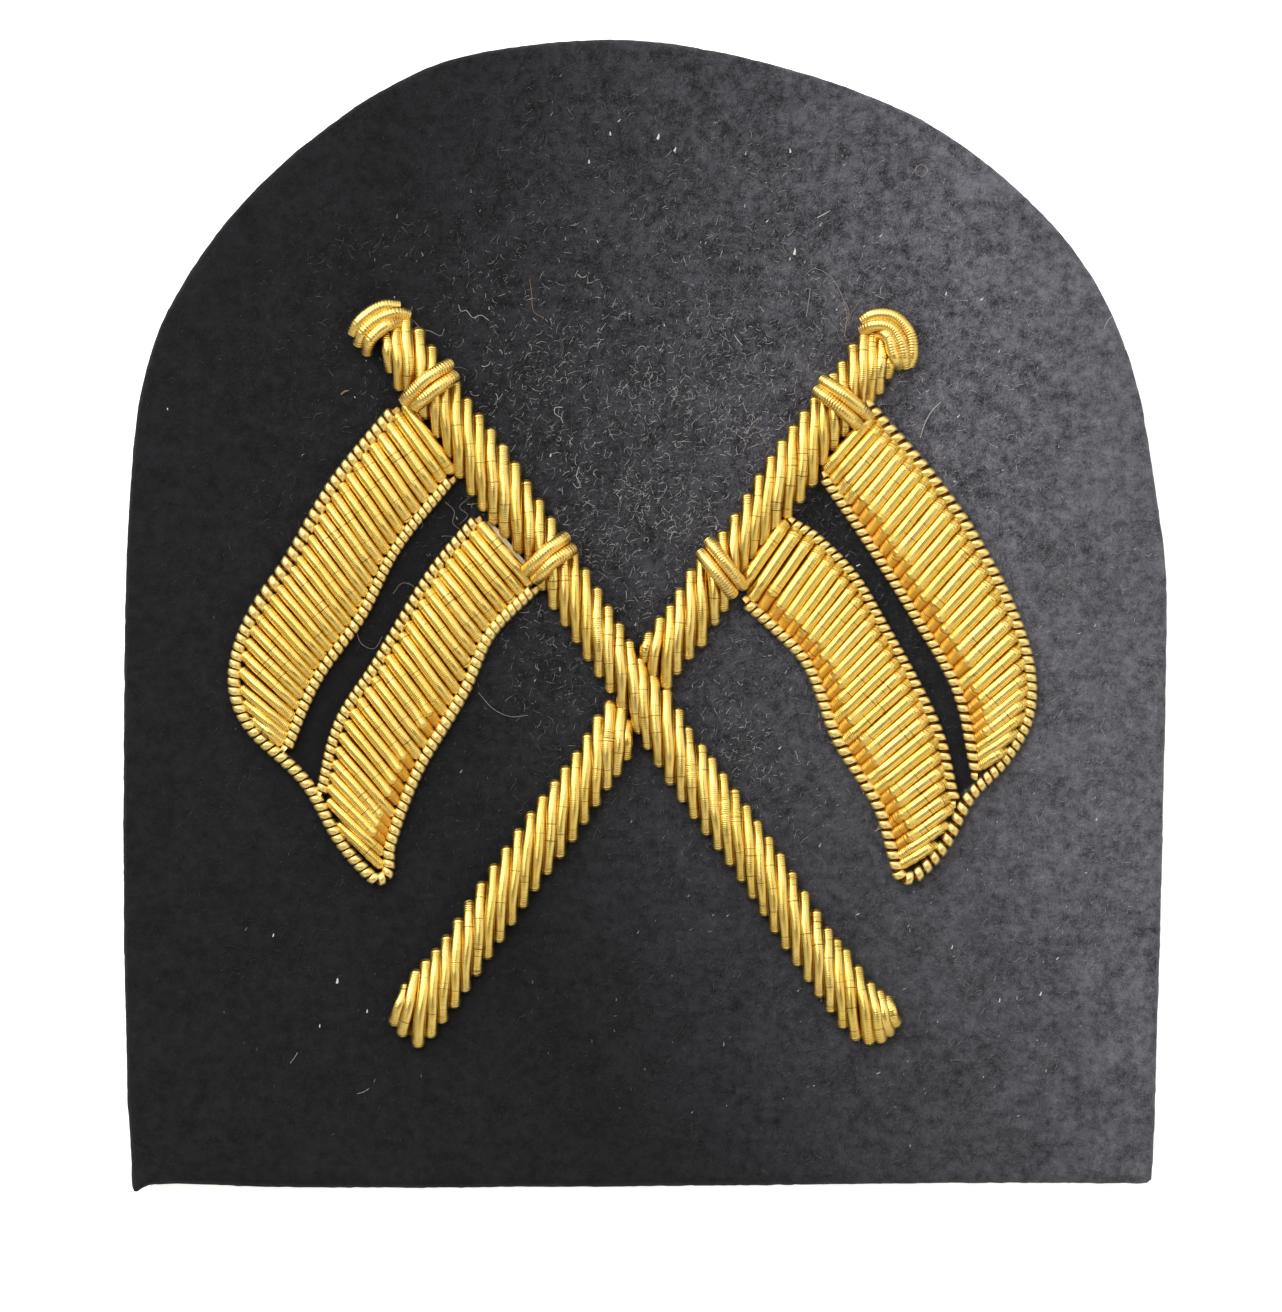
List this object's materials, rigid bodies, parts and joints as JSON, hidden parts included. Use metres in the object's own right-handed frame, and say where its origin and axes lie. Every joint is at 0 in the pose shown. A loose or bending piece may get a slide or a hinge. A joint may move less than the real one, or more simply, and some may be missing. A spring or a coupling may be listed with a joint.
{
  "type": "embroidered badge",
  "caption": "arched felt patch badge embroidered in gold wire with two crossed staffs, each carrying a two-stripe signal flag",
  "frame": {"origin": "on the patch's flat back, in the middle of its width and of its height from foot to arch", "axes": "+X to the viewer's right across the badge, +Y from the straight foot to the arched top, +Z out of the back through the embroidery"},
  "size_m": [0.0783, 0.0864, 0.0043],
  "materials": {
    "wool_felt": "dark navy-black wool felt with a short grey nap",
    "gold_tube": "smooth gilt embroidery wire coiled into fine tubes, satin sheen",
    "gold_bead_wire": "stiffer gilt wire coiled into a row of beads, pale gold"
  },
  "bodies": {
    "root": {"felt_patch": "wool_felt", "over_staff": "gold_tube", "under_staff_upper": "gold_tube", "under_staff_lower": "gold_tube", "left_outer_stripe": "gold_tube", "left_inner_stripe": "gold_tube", "right_outer_stripe": "gold_tube", "right_inner_stripe": "gold_tube", "left_flag_border": "gold_bead_wire", "left_outer_edge": "gold_bead_wire", "left_inner_edge": "gold_bead_wire", "right_flag_border": "gold_bead_wire", "right_outer_edge": "gold_bead_wire", "right_inner_edge": "gold_bead_wire", "left_upper_tie": "gold_tube", "left_lower_tie": "gold_tube", "right_upper_tie": "gold_tube", "right_lower_tie": "gold_tube", "left_finial": "gold_tube", "right_finial": "gold_tube"}
  },
  "joints": []
}
